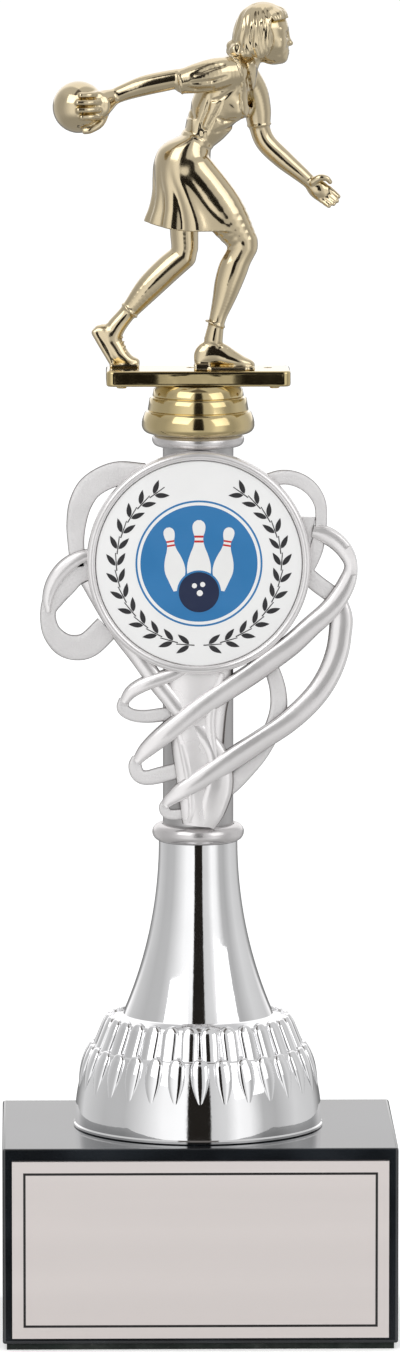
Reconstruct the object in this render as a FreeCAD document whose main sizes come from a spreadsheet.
"""Bowling trophy: a stone block on felt, a chrome cone, a column with a scrolled medallion frame,
and a gold bowler on a stepped pedestal, all drawn together by one threaded rod and its nuts.

Millimetres. +Z is up, the name plate faces -Y, and the origin is the middle of the underside.
"""

import FreeCAD, Part
import math
import os

import Sketcher
from FreeCAD import Placement, Rotation, Vector

SIZES = [
    # alias, value, what it measures
    ("felt_thick", 1.5, "felt pad under the block"),
    ("felt_inset", 1.0, "felt kept back from the block's sides"),
    ("block_width", 96.0, "stone block, left to right"),
    ("block_depth", 70.0, "stone block, front to back"),
    ("block_height", 48.0, "stone block"),
    ("block_chamfer", 0.7, "polished arris of the block"),
    ("recess_radius", 13.0, "pocket under the block for the bottom nut"),
    ("recess_depth", 14.0, "depth of that pocket"),
    ("label_side_margin", 2.35, "block showing beside the name plate"),
    ("label_top_margin", 3.0, "block showing above the name plate"),
    ("label_bottom_margin", 1.6, "block showing below the name plate"),
    ("label_thick", 0.8, "name plate"),
    ("label_tape", 0.4, "adhesive tape behind the name plate"),
    ("tape_inset", 2.0, "tape kept back from the name plate's edge"),
    ("border_inset", 2.7, "name plate edge to the black line"),
    ("border_width", 0.6, "width of the black line"),
    ("border_depth", 0.3, "depth of the groove that holds the line"),
    ("rod_radius", 3.0, "M6 tie rod"),
    ("rod_clearance", 0.3, "radial room for the rod in its holes"),
    ("rod_tail", 2.0, "rod below the bottom nut"),
    ("rod_end_room", 0.5, "room above the rod's top end"),
    ("thread_gap", 0.05, "radial gap of a nut or washer on the rod"),
    ("nut_flats", 10.0, "M6 nut across flats"),
    ("nut_height", 5.0, "M6 nut"),
    ("nut_gap", 0.05, "gap between the upper nut and its pocket"),
    ("washer_radius", 9.0, "flat washer"),
    ("washer_thick", 1.6, "flat washer"),
    ("spring_radius", 5.9, "spring washer"),
    ("spring_thick", 1.6, "spring washer"),
    ("spring_split", 1.2, "slot in the spring washer"),
    ("cone_foot_radius", 30.5, "cone at the block"),
    ("cone_lip", 1.0, "upright lip at the cone's foot"),
    ("cone_swell_radius", 29.3, "cone half way up its lower swell"),
    ("cone_shoulder_radius", 26.2, "top of the cone's lower swell"),
    ("cone_shoulder_height", 19.4, "height of that shoulder"),
    ("cone_ledge_radius", 24.6, "foot of the cone's upper belt"),
    ("cone_ledge_height", 20.4, "height of that ledge"),
    ("cone_rim_radius", 22.0, "top of the cone's upper belt"),
    ("cone_rim_height", 26.8, "height of that rim"),
    ("cone_neck_radius", 18.2, "foot of the cone's trunk"),
    ("cone_neck_height", 28.2, "height of the trunk's foot"),
    ("cone_top_radius", 9.6, "top of the cone's trunk"),
    ("cone_height", 70.4, "cone"),
    ("cone_wall", 2.0, "cone's wall"),
    ("rib_radius", 1.55, "ribs on the cone"),
    ("rib_count", 30, "ribs in each of the cone's two rows"),
    ("rib_reach", 10.5, "how far the lower ribs run down the swell"),
    ("lower_collar_height", 4.3, "collar at the column's foot"),
    ("upper_collar_height", 3.2, "collar at the column's top"),
    ("collar_overhang", 2.6, "collar beyond the column"),
    ("collar_round", 2.0, "rounding of a collar's edges"),
    ("collar_floor", 1.5, "web of a collar"),
    ("column_radius", 8.6, "column tube"),
    ("column_wall", 1.5, "column tube's wall"),
    ("column_show", 92.6, "column between its collars"),
    ("socket_gap", 0.05, "column in a collar's socket"),
    ("insert_radius", 25.0, "medallion disc, the trade's 50 mm size"),
    ("insert_thick", 1.7, "medallion disc"),
    ("insert_gap", 0.1, "radial room round the disc"),
    ("insert_tape", 0.3, "adhesive behind the disc"),
    ("ring_rim", 2.1, "rim round the disc"),
    ("ring_lip", 0.8, "rim standing in front of the disc"),
    ("ring_floor", 1.6, "web behind the disc"),
    ("ring_round", 1.0, "rounding of the rim"),
    ("ring_gap", 0.2, "ring below the upper collar"),
    ("foot_gap", 0.3, "frame's foot above the lower collar"),
    ("seat_gap", 0.1, "frame's flat back in front of the column"),
    ("back_band", 1.8, "thickness of the frame's rear bands"),
    ("front_band", 3.4, "thickness of the frame's front bands"),
    ("peg_radius", 1.5, "pegs that hold the frame to the column"),
    ("peg_grip", 1.1, "peg's hold in the frame"),
    ("peg_tail", 1.6, "peg inside the column"),
    ("peg_gap", 0.05, "radial gap round a peg"),
    ("upper_peg_rise", 13.6, "upper peg above the middle of the ring"),
    ("lower_peg_rise", 8.0, "lower peg above the frame's foot"),
    ("pedestal_radius", 13.7, "pedestal's widest"),
    ("pedestal_belly", 1.9, "height of the pedestal's widest part"),
    ("lower_tier", 5.4, "height of the pedestal's lower tier"),
    ("middle_tier", 3.4, "height of its middle tier"),
    ("upper_tier", 3.1, "height of its upper tier"),
    ("tier_taper", 0.85, "how far each tier draws in"),
    ("tier_step", 0.6, "ledge between two tiers"),
    ("pedestal_wall", 1.6, "pedestal's wall"),
    ("boss_radius", 7.6, "pedestal's middle boss"),
    ("stand_thick", 3.8, "lane plate under the bowler"),
    ("stand_depth", 15.4, "lane plate, front to back"),
    ("stand_margin", 1.0, "lane plate beyond the farther foot"),
    ("stand_corner", 1.6, "lane plate's corner radius"),
    ("stand_edge", 0.7, "lane plate's edge rounding"),
    ("stub_radius", 1.3, "moulding stubs under the lane plate"),
    ("stub_length", 1.0, "moulding stubs"),
    ("stub_inset", 4.0, "stub to the lane plate's end"),
    ("figure_height", 89.3, "bowler, soles to crown"),
]

LEVELS = [
    # alias, formula, what lies at that height
    ("block_bottom", "Sizes.felt_thick", "underside of the block"),
    ("block_top", "block_bottom + Sizes.block_height", "cone's foot"),
    ("cone_top", "block_top + Sizes.cone_height", "lower collar"),
    ("column_low", "cone_top + Sizes.lower_collar_height", "lower end of the column that shows"),
    ("column_high", "column_low + Sizes.column_show", "upper end of the column that shows"),
    ("collar_top", "column_high + Sizes.upper_collar_height", "pedestal's foot"),
    ("pedestal_top", "collar_top + Sizes.lower_tier + Sizes.middle_tier + Sizes.upper_tier", "stand"),
    ("stand_top", "pedestal_top + Sizes.stand_thick", "bowler's soles"),
    ("recess_top", "block_bottom + Sizes.recess_depth", "seat of the flat washer"),
    ("washer_low", "recess_top - Sizes.washer_thick", "spring washer"),
    ("spring_low", "washer_low - Sizes.spring_thick", "bottom nut"),
    ("nut_low", "spring_low - Sizes.nut_height", "underside of the bottom nut"),
    ("rod_low", "nut_low - Sizes.rod_tail", "lower end of the rod"),
    ("ring_radius", "Sizes.insert_radius + Sizes.insert_gap + Sizes.ring_rim", "medallion ring"),
    ("ring_level", "column_high - Sizes.ring_gap - ring_radius", "middle of the medallion ring"),
    ("frame_foot", "column_low + Sizes.foot_gap", "underside of the frame"),
    ("frame_back", "Sizes.column_radius + Sizes.seat_gap", "frame's flat back, in front of the axis"),
    ("disc_back", "frame_back + Sizes.ring_floor + Sizes.insert_tape", "back of the medallion disc"),
    ("boss_room", "Sizes.nut_height + Sizes.nut_gap", "depth of the upper nut's pocket"),
    ("rod_high", "pedestal_top - Sizes.pedestal_wall - Sizes.rod_end_room", "upper end of the rod"),
]

# The bowler and the frame are drawn at these nominal sizes and scaled to the sheet's values.
FIGURE_NOMINAL = 90.3
RING_NOMINAL = 27.2
RING_ABOVE_FOOT = 66.0

# Outer bounds of the bowler's feet along the lane plate, at the nominal height.
HEEL_X = -21.6
TOE_X = 14.0

OVERCUT = 1.0
TOLERANCE = 1e-4
BEYOND = 200.0

doc = FreeCAD.newDocument("bowling_trophy")


def make_sheet(name, rows, as_formula):
    """A spreadsheet with one named value on each row."""
    sheet = doc.addObject("Spreadsheet::Sheet", name)
    for row, (alias, value, meaning) in enumerate(rows, start=1):
        sheet.set(f"A{row}", meaning)
        sheet.set(f"B{row}", f"={value}" if as_formula else str(value))
        sheet.setAlias(f"B{row}", alias)
    doc.recompute()
    return sheet


sizes = make_sheet("Sizes", SIZES, as_formula=False)
levels = make_sheet("Levels", LEVELS, as_formula=True)


def number(expression):
    """The value of an expression on the two sheets, in millimetres."""
    return float(levels.evalExpression(expression))


# ---------------------------------------------------------------- modelling helpers


def new_body(name):
    body = doc.addObject("PartDesign::Body", name)
    body.Label = name
    return body


def new_sketch(body, name, role):
    """A sketch on one of the body's own origin planes."""
    sketch = body.newObject("Sketcher::SketchObject", name)
    plane = next(f for f in body.Origin.OriginFeatures if f.Role == role)
    sketch.AttachmentSupport = [(plane, "")]
    sketch.MapMode = "FlatFace"
    return sketch


def pin_vertex(sketch, edge, end, across, up):
    """Holds one end of a sketch edge at two expressions, measured from the origin."""
    for kind, axis_element, expression in (("DistanceX", -2, across), ("DistanceY", -1, up)):
        if expression == "0":
            sketch.addConstraint(Sketcher.Constraint("PointOnObject", edge, end, axis_element))
            continue
        place = number(expression)
        index = sketch.addConstraint(Sketcher.Constraint(kind, -1, 1, edge, end, place))
        sketch.setExpression(f"Constraints[{index}]", expression)


def outline(body, name, role, corners):
    """A closed sketch of straight edges; each corner is a pair of expressions."""
    sketch = new_sketch(body, name, role)
    places = [Vector(number(across), number(up), 0) for across, up in corners]
    count = len(corners)
    for i in range(count):
        sketch.addGeometry(Part.LineSegment(places[i], places[(i + 1) % count]), False)
    for i in range(count):
        sketch.addConstraint(Sketcher.Constraint("Coincident", i, 2, (i + 1) % count, 1))
    for i, (across, up) in enumerate(corners):
        pin_vertex(sketch, i, 1, across, up)
    return sketch


def circle_sketch(body, name, role, radius, across="0", up="0"):
    sketch = new_sketch(body, name, role)
    centre = Vector(number(across), number(up), 0)
    sketch.addGeometry(Part.Circle(centre, Vector(0, 0, 1), number(radius)), False)
    pin_vertex(sketch, 0, 3, across, up)
    index = sketch.addConstraint(Sketcher.Constraint("Radius", 0, number(radius)))
    sketch.setExpression(f"Constraints[{index}]", radius)
    return sketch


def revolve(body, name, corners):
    """A solid of revolution about Z from corners given as (radius, height) expressions."""
    sketch = outline(body, name + "_profile", "XZ_Plane", corners)
    feature = body.newObject("PartDesign::Revolution", name)
    feature.Profile = sketch
    feature.ReferenceAxis = (sketch, ["V_Axis"])
    feature.Angle = 360
    doc.recompute()
    return feature


def pad(body, sketch, name, length, reversed_=False):
    feature = body.newObject("PartDesign::Pad", name)
    feature.Profile = sketch
    feature.setExpression("Length", length)
    feature.Reversed = reversed_
    doc.recompute()
    return feature


def pocket(body, sketch, name, length, reversed_=True):
    """A pocket, which has to take material away: upwards from XY_Plane unless told otherwise."""
    before = body.Shape.Volume
    feature = body.newObject("PartDesign::Pocket", name)
    feature.Profile = sketch
    feature.setExpression("Length", length)
    feature.Reversed = reversed_
    doc.recompute()
    if body.Shape.Volume >= before:
        raise RuntimeError(f"{body.Label}: pocket {name} cuts nothing")
    return feature


def dress(body, kind, name, edge_test, property_name, expression):
    """A fillet or chamfer on the edges of the body's tip that pass edge_test."""
    base = body.Tip
    edges = [f"Edge{i}" for i, edge in enumerate(base.Shape.Edges, start=1) if edge_test(edge)]
    feature = body.newObject("PartDesign::" + kind, name)
    feature.Base = (base, edges)
    feature.setExpression(property_name, expression)
    doc.recompute()
    return feature


def ring_edge(radius, height):
    """A test for a full circular edge about Z at that radius and height, given as expressions."""

    def test(edge):
        curve = edge.Curve
        if not isinstance(curve, Part.Circle):
            return False
        same_radius = abs(curve.Radius - number(radius)) < TOLERANCE
        return same_radius and abs(curve.Center.z - number(height)) < TOLERANCE

    return test


def lift(item, height):
    item.setExpression("Placement.Base.z", height)


def primitive(kind, name, **expressions):
    """A Part primitive whose properties are bound to expressions."""
    item = doc.addObject(kind, name)
    item.Label = name
    for prop, expression in expressions.items():
        item.setExpression(prop.replace("__", "."), expression)
    return item


def difference(name, base, tool):
    cut = doc.addObject("Part::Cut", name)
    cut.Label = name
    cut.Base = base
    cut.Tool = tool
    return cut


def shaped(name, shape):
    """A sub-part whose shape is worked out here from the sheet."""
    item = doc.addObject("Part::Feature", name)
    item.Label = name
    item.Shape = shape
    return item


# ---------------------------------------------------------------- block, felt and name plate


def make_block():
    """Stone block: drilled through for the rod, counterbored below, arrises polished."""
    body = new_body("stone_block")
    half = ("Sizes.block_width / 2", "Sizes.block_depth / 2")
    corners = [(s + half[0], t + half[1]) for s, t in (("-", "-"), ("", "-"), ("", ""), ("-", ""))]
    pad(body, outline(body, "block_plan", "XY_Plane", corners), "block_pad", "Sizes.block_height")
    hole = circle_sketch(body, "rod_hole_plan", "XY_Plane", "Sizes.rod_radius + Sizes.rod_clearance")
    pocket(body, hole, "rod_hole", "Sizes.block_height")
    recess = circle_sketch(body, "nut_recess_plan", "XY_Plane", "Sizes.recess_radius")
    pocket(body, recess, "nut_recess", "Sizes.recess_depth")

    def arris(edge):
        straight = isinstance(edge.Curve, (Part.Line, Part.LineSegment))
        return straight and edge.BoundBox.ZMax > TOLERANCE

    dress(body, "Chamfer", "arrises", arris, "Size", "Sizes.block_chamfer")
    lift(body, "Levels.block_bottom")
    return body


def make_felt():
    return primitive(
        "Part::Box",
        "felt_pad",
        Length="Sizes.block_width - 2 * Sizes.felt_inset",
        Width="Sizes.block_depth - 2 * Sizes.felt_inset",
        Height="Sizes.felt_thick",
        Placement__Base__x="Sizes.felt_inset - Sizes.block_width / 2",
        Placement__Base__y="Sizes.felt_inset - Sizes.block_depth / 2",
    )


def label_box(name, inset, thick, behind):
    """A slab parallel to the name plate, inset all round, whose back is behind in front of the block."""
    wide = f"Sizes.block_width - 2 * (Sizes.label_side_margin + {inset})"
    margins = "Sizes.label_top_margin - Sizes.label_bottom_margin"
    return primitive(
        "Part::Box",
        name,
        Length=wide,
        Width=thick,
        Height=f"Sizes.block_height - 2 * Sizes.label_bottom_margin - ({margins}) - 2 * ({inset})",
        Placement__Base__x=f"Sizes.label_side_margin + {inset} - Sizes.block_width / 2",
        Placement__Base__y=f"-Sizes.block_depth / 2 - ({behind}) - ({thick})",
        Placement__Base__z=f"Levels.block_bottom + Sizes.label_bottom_margin + {inset}",
    )


def make_border_line(name):
    """The black line: a thin rectangular frame flush with the name plate's face."""
    behind = "Sizes.label_tape + Sizes.label_thick - Sizes.border_depth"
    outer = label_box(name + "_outer", "Sizes.border_inset", "Sizes.border_depth", behind)
    inner = label_box(
        name + "_inner", "Sizes.border_inset + Sizes.border_width", "Sizes.border_depth", behind
    )
    return difference(name, outer, inner)


def make_label():
    """Tape, name plate with a line groove, and the black line that fills the groove."""
    tape = label_box("name_plate_tape", "Sizes.tape_inset", "Sizes.label_tape", "0")
    blank = label_box("name_plate_blank", "0", "Sizes.label_thick", "Sizes.label_tape")
    plate = difference("name_plate", blank, make_border_line("name_plate_groove"))
    return [tape, plate, make_border_line("name_plate_border")]


# ---------------------------------------------------------------- rod, nuts and washers


def make_rod():
    length = "Levels.rod_high - Levels.rod_low"
    rod = primitive("Part::Cylinder", "tie_rod", Radius="Sizes.rod_radius", Height=length)
    lift(rod, "Levels.rod_low")
    return rod


def hexagon(body, name, flats):
    """Corners of a hexagon on XY_Plane with two flats facing +Y and -Y."""
    side = f"({flats}) / (2 * sqrt(3))"
    apothem = f"({flats}) / 2"
    corners = [
        (f"2 * {side}", "0"),
        (side, apothem),
        (f"-{side}", apothem),
        (f"-2 * {side}", "0"),
        (f"-{side}", f"-{apothem}"),
        (side, f"-{apothem}"),
    ]
    return outline(body, name, "XY_Plane", corners)


def make_nut(name, level):
    body = new_body(name)
    pad(body, hexagon(body, name + "_plan", "Sizes.nut_flats"), name + "_pad", "Sizes.nut_height")
    bore = circle_sketch(body, name + "_bore_plan", "XY_Plane", "Sizes.rod_radius + Sizes.thread_gap")
    pocket(body, bore, name + "_bore", "Sizes.nut_height")
    lift(body, level)
    return body


def annulus(name, radius, thick, level):
    """A flat ring on the rod."""
    disc = primitive("Part::Cylinder", name + "_disc", Radius=radius, Height=thick)
    bore = primitive(
        "Part::Cylinder", name + "_bore", Radius="Sizes.rod_radius + Sizes.thread_gap", Height=thick
    )
    lift(disc, level)
    lift(bore, level)
    return difference(name, disc, bore)


def make_washers():
    flat = annulus("flat_washer", "Sizes.washer_radius", "Sizes.washer_thick", "Levels.washer_low")
    whole = annulus("spring_washer_ring", "Sizes.spring_radius", "Sizes.spring_thick", "Levels.spring_low")
    slot = primitive(
        "Part::Box",
        "spring_washer_slot",
        Length="Sizes.spring_radius",
        Width="Sizes.spring_split",
        Height="Sizes.spring_thick",
        Placement__Base__y="-Sizes.spring_split / 2",
        Placement__Base__z="Levels.spring_low",
    )
    return [flat, difference("spring_washer", whole, slot)]


# ---------------------------------------------------------------- cone


def revolved_profile(edges):
    """A solid of revolution about Z from edges in the XZ plane."""
    face = Part.Face(Part.Wire(edges))
    return face.revolve(Vector(0, 0, 0), Vector(0, 0, 1), 360)


def line(start, end):
    return Part.LineSegment(Vector(start[0], 0, start[1]), Vector(end[0], 0, end[1])).toShape()


def arc(start, middle, end):
    points = [Vector(r, 0, z) for r, z in (start, middle, end)]
    return Part.Arc(*points).toShape()


def trunk_middle(low, high):
    """A point half way up the trunk's arc, which stands upright at its top."""
    rise = high[1] - low[1]
    run = low[0] - high[0]
    radius = (rise * rise + run * run) / (2 * run)
    half = rise / 2
    return (high[0] + radius - math.sqrt(radius * radius - half * half), high[1] - half)


def cone_form(inset):
    """The cone's outer form, or its hollow when inset is the wall's thickness."""

    def corner(name):
        radius = number(f"Sizes.cone_{name}_radius") - inset
        return (radius, number(f"Sizes.cone_{name}_height") - inset)

    foot = number("Sizes.cone_foot_radius") - inset
    base = -OVERCUT if inset else 0.0
    lip = (foot, number("Sizes.cone_lip"))
    shoulder = corner("shoulder")
    swell = (number("Sizes.cone_swell_radius") - inset, (lip[1] + shoulder[1]) / 2)
    ledge = corner("ledge")
    rim = corner("rim")
    neck = corner("neck")
    top = (number("Sizes.cone_top_radius") - inset, number("Sizes.cone_height") - inset)
    edges = [
        line((0, base), (foot, base)),
        line((foot, base), lip),
        arc(lip, swell, shoulder),
        line(shoulder, ledge),
        line(ledge, rim),
        line(rim, neck),
        arc(neck, trunk_middle(neck, top), top),
        line(top, (0, top[1])),
        line((0, top[1]), (0, base)),
    ]
    return revolved_profile(edges)


def rib_row(top, bottom, turn):
    """Round-topped ribs lying on the cone; top and bottom are (radius, height) of a rib's axis."""
    radius = number("Sizes.rib_radius")
    count = int(number("Sizes.rib_count"))
    start = Vector(bottom[0], 0, bottom[1])
    end = Vector(top[0], 0, top[1])
    bar = Part.makeCylinder(radius, (end - start).Length, start, end - start)
    rib = bar.fuse(Part.makeSphere(radius, end))
    pitch = 360.0 / count
    return [rib.rotated(Vector(), Vector(0, 0, 1), pitch * (i + turn)) for i in range(count)]


def make_cone():
    """Plated cone: hollow, with a belt of two staggered rows of ribs."""
    radius = number("Sizes.rib_radius")
    rim = (number("Sizes.cone_rim_radius"), number("Sizes.cone_rim_height"))
    ledge = (number("Sizes.cone_ledge_radius"), number("Sizes.cone_ledge_height"))
    shoulder = (number("Sizes.cone_shoulder_radius"), number("Sizes.cone_shoulder_height"))
    reach = number("Sizes.rib_reach")
    lean = (number("Sizes.cone_foot_radius") - shoulder[0]) / shoulder[1]
    upper = rib_row(rim, ledge, 0.5)
    lower_foot = (shoulder[0] + lean * reach, shoulder[1] - reach)
    lower = rib_row(shoulder, lower_foot, 0.0)
    solid = cone_form(0.0).multiFuse(upper + lower)
    hollow = cone_form(number("Sizes.cone_wall"))
    hole_radius = number("Sizes.rod_radius + Sizes.rod_clearance")
    hole = Part.makeCylinder(hole_radius, number("Sizes.cone_height") + OVERCUT)
    cone = shaped("cone_shell", solid.cut([hollow, hole]))
    cone.Placement = Placement(Vector(0, 0, number("Levels.block_top")), Rotation())
    return cone


# ---------------------------------------------------------------- column and collars


def make_collar(name, upside_down):
    """A round-edged end cap: the column sits in its socket, the rod passes through its web."""
    body = new_body(name)
    outer = "Sizes.column_radius + Sizes.collar_overhang"
    socket = "Sizes.column_radius + Sizes.socket_gap"
    hole = "Sizes.rod_radius + Sizes.rod_clearance"
    height = f"Sizes.{name}_height"
    corners = [
        (hole, "0"),
        (outer, "0"),
        (outer, height),
        (socket, height),
        (socket, "Sizes.collar_floor"),
        (hole, "Sizes.collar_floor"),
    ]
    revolve(body, name + "_turned", corners)
    low = ring_edge(outer, "0")
    high = ring_edge(outer, height)
    dress(
        body,
        "Fillet",
        name + "_round",
        lambda edge: low(edge) or high(edge),
        "Radius",
        f"min(Sizes.collar_round; {height} * 0.47; Sizes.collar_overhang * 0.8)",
    )
    if upside_down:
        body.Placement = Placement(Vector(), Rotation(Vector(1, 0, 0), 180))
        lift(body, "Levels.collar_top")
    else:
        lift(body, "Levels.cone_top")
    return body


def peg_levels():
    """Heights of the two pegs: through the ring's web and through the frame's stem."""
    upper = number("Levels.ring_level + Sizes.upper_peg_rise")
    return [upper, number("Levels.frame_foot + Sizes.lower_peg_rise")]


def make_column():
    """The column tube, drilled at the front for the frame's pegs."""
    low = number("Levels.cone_top + Sizes.collar_floor")
    length = number("Levels.collar_top - Sizes.collar_floor") - low
    outer = number("Sizes.column_radius")
    tube = Part.makeCylinder(outer, length, Vector(0, 0, low))
    bore = Part.makeCylinder(outer - number("Sizes.column_wall"), length, Vector(0, 0, low))
    hole_radius = number("Sizes.peg_radius + Sizes.peg_gap")
    holes = [
        Part.makeCylinder(hole_radius, outer + OVERCUT, Vector(0, 0, z), Vector(0, -1, 0))
        for z in peg_levels()
    ]
    return shaped("column_tube", tube.cut([bore] + holes))


def make_pegs():
    """Two pegs, glued into the frame's back and passing through the column's wall."""
    radius = number("Sizes.peg_radius")
    front = number("Levels.frame_back + Sizes.peg_grip")
    inner = number("Sizes.column_radius - Sizes.column_wall - Sizes.peg_tail")
    pegs = [
        Part.makeCylinder(radius, front - inner, Vector(0, -inner, z), Vector(0, -1, 0))
        for z in peg_levels()
    ]
    return shaped("frame_pegs", Part.makeCompound(pegs))


# ---------------------------------------------------------------- scrolled medallion frame

# Bands of the frame: (across, height above the foot, half width) along each middle line.
REAR_BANDS = {
    "upper_left_loop": [
        (-13.0, 87.6, 2.6), (-20.0, 87.6, 3.0), (-25.8, 84.8, 3.0), (-28.6, 80.6, 2.8),
        (-29.7, 75.6, 2.4), (-29.8, 70.6, 2.0), (-29.2, 65.0, 1.9),
    ],
    "left_ear": [
        (-25.5, 65.1, 2.8), (-29.9, 63.4, 3.0), (-32.7, 60.6, 3.0), (-35.2, 57.3, 2.6),
        (-36.6, 53.8, 1.9), (-35.9, 49.4, 2.2), (-33.2, 46.2, 2.8), (-29.9, 45.2, 3.1),
        (-26.5, 46.1, 3.2), (-22.3, 50.1, 3.2),
    ],
    "small_right_loop": [
        (15.5, 85.3, 1.9), (20.0, 86.7, 1.8), (24.0, 86.1, 1.8), (27.3, 83.9, 1.7),
        (29.3, 80.6, 1.5), (29.7, 77.0, 1.4), (29.4, 73.4, 1.5), (28.6, 69.6, 1.7),
        (27.2, 66.0, 1.7), (25.6, 63.0, 1.5),
    ],
    "right_web": [(26.5, 77.0, 1.9), (26.4, 73.5, 1.3), (26.3, 70.0, 0.8)],
    "right_strut": [(24.5, 64.6, 2.0), (28.5, 60.9, 2.1), (33.0, 57.6, 2.1)],
    "inner_right_band": [
        (17.0, 41.6, 1.8), (18.5, 37.6, 1.9), (19.3, 34.0, 2.0), (19.4, 30.0, 2.1),
        (18.4, 26.0, 2.1), (16.6, 22.0, 2.2), (14.2, 18.0, 2.2), (11.2, 14.3, 2.2),
        (8.0, 11.0, 2.3), (5.0, 8.6, 2.3),
    ],
    "middle_left_loop": [
        (-7.0, 38.4, 1.4), (-12.6, 37.0, 1.7), (-15.9, 34.8, 1.6), (-18.1, 32.4, 1.5),
        (-18.4, 30.0, 1.5), (-16.2, 28.4, 1.5), (-12.8, 28.0, 1.6), (-8.9, 28.4, 1.7),
        (-5.0, 28.9, 1.7),
    ],
    "lower_left_return": [
        (-12.8, 19.6, 2.1), (-15.3, 16.2, 1.8), (-15.2, 13.7, 1.7), (-12.8, 12.5, 1.8),
        (-9.2, 13.2, 2.0), (-4.0, 14.6, 1.9),
    ],
    "bottom_left_return": [
        (-7.0, 7.1, 1.8), (-8.4, 4.7, 1.4), (-7.2, 3.3, 1.3), (-3.0, 3.4, 1.3),
    ],
}
FRONT_BANDS = {
    "upper_sweep": [
        (28.0, 73.6, 1.7), (30.5, 72.8, 2.1), (33.5, 70.9, 2.1), (35.8, 68.2, 1.9),
        (36.9, 65.1, 1.6), (36.1, 61.6, 2.1), (34.0, 57.6, 2.4), (31.2, 54.0, 2.5),
        (27.0, 50.2, 2.6), (22.5, 46.0, 2.7), (17.5, 42.2, 2.7), (12.0, 38.2, 2.6),
        (6.0, 34.2, 2.6), (0.3, 30.4, 2.6), (-4.5, 26.8, 2.5), (-9.0, 23.1, 2.4),
        (-12.8, 19.6, 2.1), (-14.6, 17.2, 1.5),
    ],
    "lower_sweep": [
        (33.6, 57.0, 2.2), (34.5, 52.6, 2.8), (34.3, 48.4, 2.8), (33.6, 44.1, 2.8),
        (31.9, 39.3, 2.8), (29.1, 34.4, 2.8), (25.3, 30.0, 2.8), (20.8, 26.0, 2.7),
        (15.8, 22.5, 2.6), (10.5, 18.9, 2.7), (5.0, 15.3, 2.7), (0.5, 12.4, 2.6),
        (-3.8, 9.6, 2.3), (-7.0, 7.1, 1.8),
    ],
    "stem": [
        (-27.0, 61.6, 1.8), (-22.4, 53.9, 2.0), (-19.0, 48.6, 2.1), (-15.2, 43.8, 2.2),
        (-12.2, 39.6, 2.2), (-10.0, 36.4, 2.2), (-7.0, 32.6, 2.2), (-4.0, 28.9, 2.3),
        (-0.9, 25.6, 2.4), (2.3, 21.9, 2.5), (4.2, 18.6, 2.8), (5.1, 14.4, 3.4),
        (4.9, 10.2, 3.8), (3.9, 7.0, 4.0), (2.2, 3.6, 4.2), (0.6, -1.0, 4.2),
    ],
}
# The panel behind the stem: its left edge upwards, then its right edge downwards.
PANEL_LEFT = [(-4.2, -1.0), (-4.8, 5.0), (-5.6, 12.0), (-6.8, 21.0), (-7.2, 30.0), (-8.5, 40.0)]
PANEL_RIGHT = [(8.5, 40.0), (7.9, 33.0), (6.6, 27.0), (6.2, 20.0), (5.8, 10.0), (4.2, -1.0)]


def frame_point(across, height):
    """A nominal frame point in the XZ plane: round the ring it scales with the ring,
    and below the ring it stretches to the room down to the foot."""
    grow = number("Levels.ring_radius") / RING_NOMINAL
    above_ring = height - RING_ABOVE_FOOT
    ring_bottom = -RING_NOMINAL
    if above_ring >= ring_bottom:
        rise = above_ring * grow
    else:
        room = number("Levels.ring_level - Levels.ring_radius - Levels.frame_foot")
        nominal_room = RING_ABOVE_FOOT - RING_NOMINAL
        rise = ring_bottom * grow + (above_ring - ring_bottom) * room / nominal_room
    return Vector(across * grow, 0, number("Levels.ring_level") + rise)


def smooth(points):
    curve = Part.BSplineCurve()
    curve.interpolate(points)
    return curve.toShape()


def prism(left, right, front, back):
    """A flat plate between two smooth edges, standing from back to front of the axis."""
    edges = [
        smooth(left),
        Part.LineSegment(left[-1], right[0]).toShape(),
        smooth(right),
        Part.LineSegment(right[-1], left[0]).toShape(),
    ]
    face = Part.Face(Part.Wire(edges))
    face.translate(Vector(0, -back, 0))
    return face.extrude(Vector(0, back - front, 0))


def band_edges(stations):
    """The two edges of a band whose half width is measured square to its middle line."""
    middle = [Vector(x, 0, z) for x, z, _ in stations]
    left = []
    right = []
    for i, (_, _, half_width) in enumerate(stations):
        ahead = middle[min(i + 1, len(middle) - 1)]
        behind = middle[max(i - 1, 0)]
        along = (ahead - behind).normalize()
        square = Vector(-along.z, 0, along.x) * half_width
        left.append(frame_point(*(middle[i] + square)[0::2]))
        right.append(frame_point(*(middle[i] - square)[0::2]))
    return left, list(reversed(right))


def medallion_ring():
    """The ring's outer form, turned about the axis that points to the front."""
    radius = number("Levels.ring_radius")
    back = number("Levels.frame_back")
    front = number("Levels.disc_back + Sizes.insert_thick + Sizes.ring_lip")
    axis_point = Vector(0, -back, number("Levels.ring_level"))
    blank = Part.makeCylinder(radius, front - back, axis_point, Vector(0, -1, 0))
    circles = [edge for edge in blank.Edges if isinstance(edge.Curve, Part.Circle)]
    rim = [edge for edge in circles if edge.Curve.Center.y < -(back + front) / 2]
    return blank.makeFillet(number("min(Sizes.ring_round; Sizes.ring_rim * 0.6)"), rim)


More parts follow.
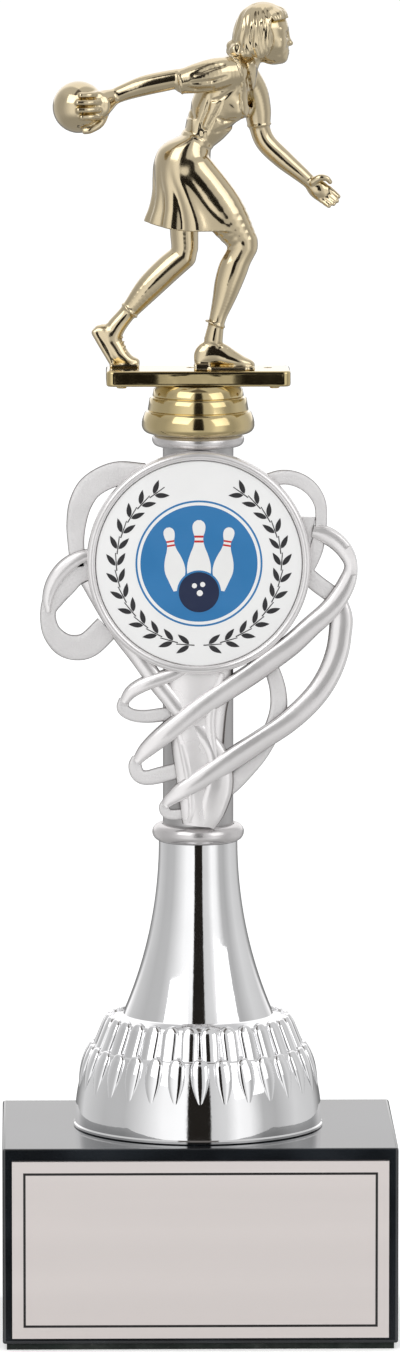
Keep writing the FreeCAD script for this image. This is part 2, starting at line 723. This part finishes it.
def make_frame():
    """Moulded frame: the ring that holds the medallion and the scrolling bands round the column."""
    back = number("Levels.frame_back")
    rear_front = back + number("Sizes.back_band")
    front_front = back + number("Sizes.front_band")
    panel_front = (rear_front + front_front) / 2
    plates = [prism(*band_edges(s), rear_front, back) for s in REAR_BANDS.values()]
    plates += [prism(*band_edges(s), front_front, back) for s in FRONT_BANDS.values()]
    panel = [[frame_point(*p) for p in side] for side in (PANEL_LEFT, PANEL_RIGHT)]
    plates.append(prism(panel[0], panel[1], panel_front, back))
    solid = medallion_ring().multiFuse(plates)
    ring_level = number("Levels.ring_level")
    web_front = back + number("Sizes.ring_floor")
    depth = front_front - web_front + OVERCUT
    seat = Part.makeCylinder(
        number("Sizes.insert_radius + Sizes.insert_gap"),
        depth,
        Vector(0, -web_front, ring_level),
        Vector(0, -1, 0),
    )
    foot = number("Levels.frame_foot")
    corner = Vector(-BEYOND, -BEYOND, foot - BEYOND)
    below = Part.makeBox(2 * BEYOND, 2 * BEYOND, BEYOND, corner)
    peg_radius = number("Sizes.peg_radius + Sizes.peg_gap")
    grip = number("Sizes.peg_grip")
    holes = [
        Part.makeCylinder(peg_radius, grip, Vector(0, -back, z), Vector(0, -1, 0))
        for z in peg_levels()
    ]
    solid = solid.cut([seat, below] + holes).removeSplitter()
    return shaped("scroll_frame", solid)


def make_insert():
    """The medallion disc and the adhesive behind it."""
    ring_level = number("Levels.ring_level")
    tape_back = number("Levels.disc_back - Sizes.insert_tape")
    disc_back = number("Levels.disc_back")
    radius = number("Sizes.insert_radius")
    forward = Vector(0, -1, 0)
    tape = Part.makeCylinder(
        radius - number("Sizes.tape_inset"),
        disc_back - tape_back,
        Vector(0, -tape_back, ring_level),
        forward,
    )
    disc = Part.makeCylinder(
        radius, number("Sizes.insert_thick"), Vector(0, -disc_back, ring_level), forward
    )
    return [shaped("medallion_tape", tape), shaped("medallion_disc", disc)]


# ---------------------------------------------------------------- pedestal and lane plate


def make_pedestal():
    """Stepped pedestal: a thin outer wall and a middle boss with a pocket for the upper nut."""
    body = new_body("stepped_pedestal")
    widest = "Sizes.pedestal_radius"
    step = "Sizes.tier_step"
    taper = "Sizes.tier_taper"
    wall = "Sizes.pedestal_wall"
    second = "Sizes.lower_tier"
    third = "Sizes.lower_tier + Sizes.middle_tier"
    top = "Sizes.lower_tier + Sizes.middle_tier + Sizes.upper_tier"
    ceiling = f"{top} - {wall}"
    corners = [
        ("0", top),
        (f"{widest} - 3 * {taper} - 2 * {step}", top),
        (f"{widest} - 2 * {taper} - 2 * {step}", third),
        (f"{widest} - 2 * {taper} - {step}", third),
        (f"{widest} - {taper} - {step}", second),
        (f"{widest} - {taper}", second),
        (widest, "Sizes.pedestal_belly"),
        (f"{widest} - {wall}", "0"),
        (f"{widest} - 2 * {wall}", "0"),
        (f"{widest} - {wall} - 2 * {taper} - 2 * {step}", ceiling),
        ("Sizes.boss_radius", ceiling),
        ("Sizes.boss_radius", "0"),
        ("0", "0"),
    ]
    revolve(body, "pedestal_turned", corners)
    pocket_plan = hexagon(body, "nut_pocket_plan", "Sizes.nut_flats + 2 * Sizes.nut_gap")
    pocket(body, pocket_plan, "nut_pocket", "Levels.boss_room")
    hole = circle_sketch(body, "rod_bore_plan", "XY_Plane", "Sizes.rod_radius + Sizes.rod_clearance")
    pocket(body, hole, "rod_bore", ceiling)
    lift(body, "Levels.collar_top")
    return body


def figure_scale():
    return number("Sizes.figure_height") / FIGURE_NOMINAL


def make_stand():
    """Lane plate under the bowler's feet, with two moulding stubs below."""
    half = max(-HEEL_X, TOE_X) * figure_scale() + number("Sizes.stand_margin")
    depth = number("Sizes.stand_depth")
    thick = number("Sizes.stand_thick")
    low = number("Levels.pedestal_top")
    plate = Part.makeBox(2 * half, depth, thick, Vector(-half, -depth / 2, low))
    upright = [e for e in plate.Edges if e.BoundBox.ZLength > thick / 2]
    plate = plate.makeFillet(number("Sizes.stand_corner"), upright)
    flat_edges = [e for e in plate.Edges if e.BoundBox.ZLength < TOLERANCE]
    plate = plate.makeFillet(number("min(Sizes.stand_edge; Sizes.stand_thick * 0.4)"), flat_edges)
    radius = number("Sizes.stub_radius")
    length = number("Sizes.stub_length")
    place = half - number("Sizes.stub_inset")
    stubs = [
        Part.makeCylinder(radius, length + thick / 2, Vector(x, 0, low - length))
        for x in (-place, place)
    ]
    return shaped("lane_plate", plate.multiFuse(stubs))


# ---------------------------------------------------------------- bowler

# Stations of each limb: (x, y, z above the soles, half width in the side view, half depth).
# The bowler faces +X, with the right side towards -Y.
LIMBS = {
    "near_thigh": [(-2.5, -3.4, 48.0, 5.0, 4.4), (5.2, -3.7, 38.8, 4.6, 4.4), (11.2, -3.9, 31.0, 3.4, 3.3)],
    "near_shin": [
        (11.3, -3.9, 31.0, 3.3, 3.2), (8.0, -3.9, 24.3, 3.6, 3.3), (6.6, -3.9, 19.3, 3.1, 2.9),
        (5.2, -3.9, 14.3, 2.3, 2.2), (4.3, -3.9, 10.8, 2.0, 1.9), (3.2, -3.9, 5.5, 2.6, 2.2),
        (2.9, -3.9, 3.0, 2.8, 2.3),
    ],
    "near_foot": [
        (-0.5, -3.9, 2.1, 1.7, 1.6), (2.0, -3.9, 3.0, 3.2, 2.4), (5.5, -3.9, 2.7, 2.8, 2.5),
        (9.5, -3.9, 1.7, 2.0, 2.6), (12.5, -3.9, 1.1, 1.4, 2.1), (13.7, -3.9, 0.9, 0.9, 1.3),
    ],
    "far_thigh": [(-2.2, 3.9, 46.0, 4.8, 4.2), (-3.4, 3.9, 36.0, 4.0, 3.7), (-2.9, 3.9, 29.0, 3.3, 3.2)],
    "far_shin": [
        (-2.4, 3.9, 28.8, 3.1, 3.1), (-7.5, 3.9, 23.5, 3.4, 3.2), (-12.0, 3.9, 18.7, 2.9, 2.7),
        (-16.6, 3.9, 13.9, 2.0, 2.0), (-19.3, 3.9, 11.0, 2.0, 1.9), (-21.6, 3.9, 8.4, 2.4, 2.1),
    ],
    "far_heel": [
        (-24.4, 3.9, 8.9, 1.3, 1.4), (-22.6, 3.9, 7.2, 2.4, 2.1), (-20.4, 3.9, 4.6, 2.4, 2.4),
        (-18.4, 3.9, 1.6, 2.4, 2.4),
    ],
    "far_toes": [
        (-21.2, 3.9, 1.1, 1.0, 1.5), (-19.0, 3.9, 1.6, 1.9, 2.4), (-16.5, 3.9, 1.4, 1.7, 2.4),
        (-14.8, 3.9, 1.0, 1.1, 1.6),
    ],
    "torso": [
        (0.2, 0.0, 54.4, 3.5, 4.4), (1.9, 0.0, 60.3, 4.9, 5.2), (5.0, 0.0, 66.0, 5.8, 6.2),
        (8.6, 0.0, 70.8, 4.8, 6.6), (11.2, 0.0, 73.6, 2.8, 3.8),
    ],
    "neck": [(10.6, 0.0, 72.0, 2.9, 3.0), (12.4, 0.0, 75.6, 2.7, 2.7), (14.4, 0.0, 79.0, 2.7, 2.8)],
    "near_arm": [
        (7.6, -4.8, 71.6, 3.8, 3.2), (1.0, -6.6, 71.5, 3.7, 3.2), (-4.5, -6.9, 71.2, 2.7, 2.5),
        (-8.5, -6.9, 70.8, 2.2, 2.1), (-14.0, -6.8, 69.4, 2.1, 2.0), (-20.0, -6.6, 67.2, 1.75, 1.7),
        (-23.0, -6.5, 66.2, 1.9, 1.8), (-26.5, -6.5, 65.3, 2.6, 2.0),
    ],
    "far_arm": [
        (11.0, 4.6, 71.0, 3.7, 3.2), (13.8, 6.2, 66.0, 3.3, 3.0), (15.2, 6.9, 61.0, 2.8, 2.7),
        (16.6, 7.0, 57.4, 2.4, 2.3), (18.6, 7.0, 54.4, 2.4, 2.3), (22.2, 6.6, 51.2, 2.2, 2.1),
        (26.4, 6.2, 47.8, 1.65, 1.6), (29.0, 6.0, 45.9, 2.2, 1.3), (31.5, 6.0, 44.0, 2.4, 1.3),
        (33.8, 6.0, 41.9, 1.6, 1.0),
    ],
}
# Level slices of the skirt: (x, z above the soles, half width, half depth).
SKIRT = [
    (0.0, 55.8, 3.6, 4.6), (-2.0, 53.6, 5.2, 6.0), (-3.9, 50.6, 6.6, 6.8), (-3.2, 46.3, 7.8, 7.3),
    (-1.4, 41.3, 9.7, 7.8), (-0.4, 37.2, 11.6, 8.2), (1.0, 33.4, 11.5, 8.4),
]
# Ellipsoids: middle (x, y, z above the soles) and half sizes.
ROUNDS = {
    "near_knee": ((11.4, -3.9, 30.8), (3.45, 3.35, 3.45)),
    "far_knee": ((-2.7, 3.9, 29.0), (3.35, 3.25, 3.35)),
    "face": ((17.9, 0.0, 81.6), (5.2, 4.6, 6.9)),
    "hair": ((16.7, 0.0, 83.2), (7.1, 6.4, 7.1)),
    "nape_curl": ((10.4, 0.0, 78.6), (3.2, 4.6, 2.8)),
    "ball": ((-29.1, -6.5, 63.9), (6.4, 6.4, 6.4)),
}
SECTION_POINTS = 8


def section(centre, normal, side, deep):
    """A closed smooth oval: side lies in the XZ plane, deep along Y."""
    in_plane = Vector(normal.z, 0, -normal.x).normalize() * side
    across = Vector(0, deep, 0)
    points = []
    for i in range(SECTION_POINTS):
        angle = 2 * math.pi * i / SECTION_POINTS
        points.append(centre + in_plane * math.cos(angle) + across * math.sin(angle))
    curve = Part.BSplineCurve()
    curve.interpolate(Points=points, PeriodicFlag=True)
    return Part.Wire(curve.toShape())


def limb(stations):
    """A smooth solid through oval sections set square to the limb's middle line."""
    middle = [Vector(x, y, z) for x, y, z, _, _ in stations]
    wires = []
    for i, (_, _, _, side, deep) in enumerate(stations):
        normal = middle[min(i + 1, len(middle) - 1)] - middle[max(i - 1, 0)]
        wires.append(section(middle[i], Vector(normal.x, 0, normal.z), side, deep))
    return Part.makeLoft(wires, True, False)


def ellipsoid(centre, half_sizes):
    stretch = FreeCAD.Matrix()
    stretch.scale(*half_sizes)
    solid = Part.makeSphere(1.0).transformGeometry(stretch)
    solid.translate(Vector(*centre))
    return solid


def make_bowler():
    """The bowler as one moulding, with flat soles on the lane plate."""
    solids = [limb(stations) for stations in LIMBS.values()]
    slices = [section(Vector(x, 0, z), Vector(0, 0, 1), side, deep) for x, z, side, deep in SKIRT]
    solids.append(Part.makeLoft(slices, True, False))
    solids += [ellipsoid(*form) for form in ROUNDS.values()]
    body = solids[0].multiFuse(solids[1:])
    floor = Part.makeBox(2 * BEYOND, 2 * BEYOND, BEYOND, Vector(-BEYOND, -BEYOND, -BEYOND))
    body = body.cut(floor)
    scale = figure_scale()
    body = body.scaled(scale)
    bowler = shaped("bowler_figure", body)
    bowler.Placement = Placement(Vector(0, 0, number("Levels.stand_top")), Rotation())
    return bowler


# ---------------------------------------------------------------- build, check and write


def build():
    parts = [make_felt(), make_block()]
    parts += make_label()
    parts += [make_rod(), make_nut("bottom_nut", "Levels.nut_low")]
    parts += make_washers()
    parts += [make_cone(), make_collar("lower_collar", False), make_column()]
    parts += [make_collar("upper_collar", True), make_frame(), make_pegs()]
    parts += make_insert()
    parts += [make_pedestal(), make_nut("pedestal_nut", "Levels.collar_top"), make_stand()]
    parts.append(make_bowler())
    return parts


def check(parts):
    """Stops at the first object that failed, or sub-part without a sound shape."""
    for item in doc.Objects:
        if {"Invalid", "Error"} & set(item.State):
            raise RuntimeError(f"{item.Label} failed: {item.State}")
    for item in parts:
        if item.Shape.isNull() or not item.Shape.isValid() or not item.Shape.Solids:
            raise RuntimeError(f"{item.Label} has no sound shape")


def write(parts):
    os.makedirs("parts", exist_ok=True)
    for item in parts:
        item.Shape.exportStep(os.path.join("parts", item.Label + ".step"))
        box = item.Shape.BoundBox
        print(
            f"{item.Label}: {len(item.Shape.Solids)} solid(s), {item.Shape.Volume:.1f} mm3, "
            f"z {box.ZMin:.2f} to {box.ZMax:.2f}"
        )


parts = build()
doc.recompute()
check(parts)
write(parts)
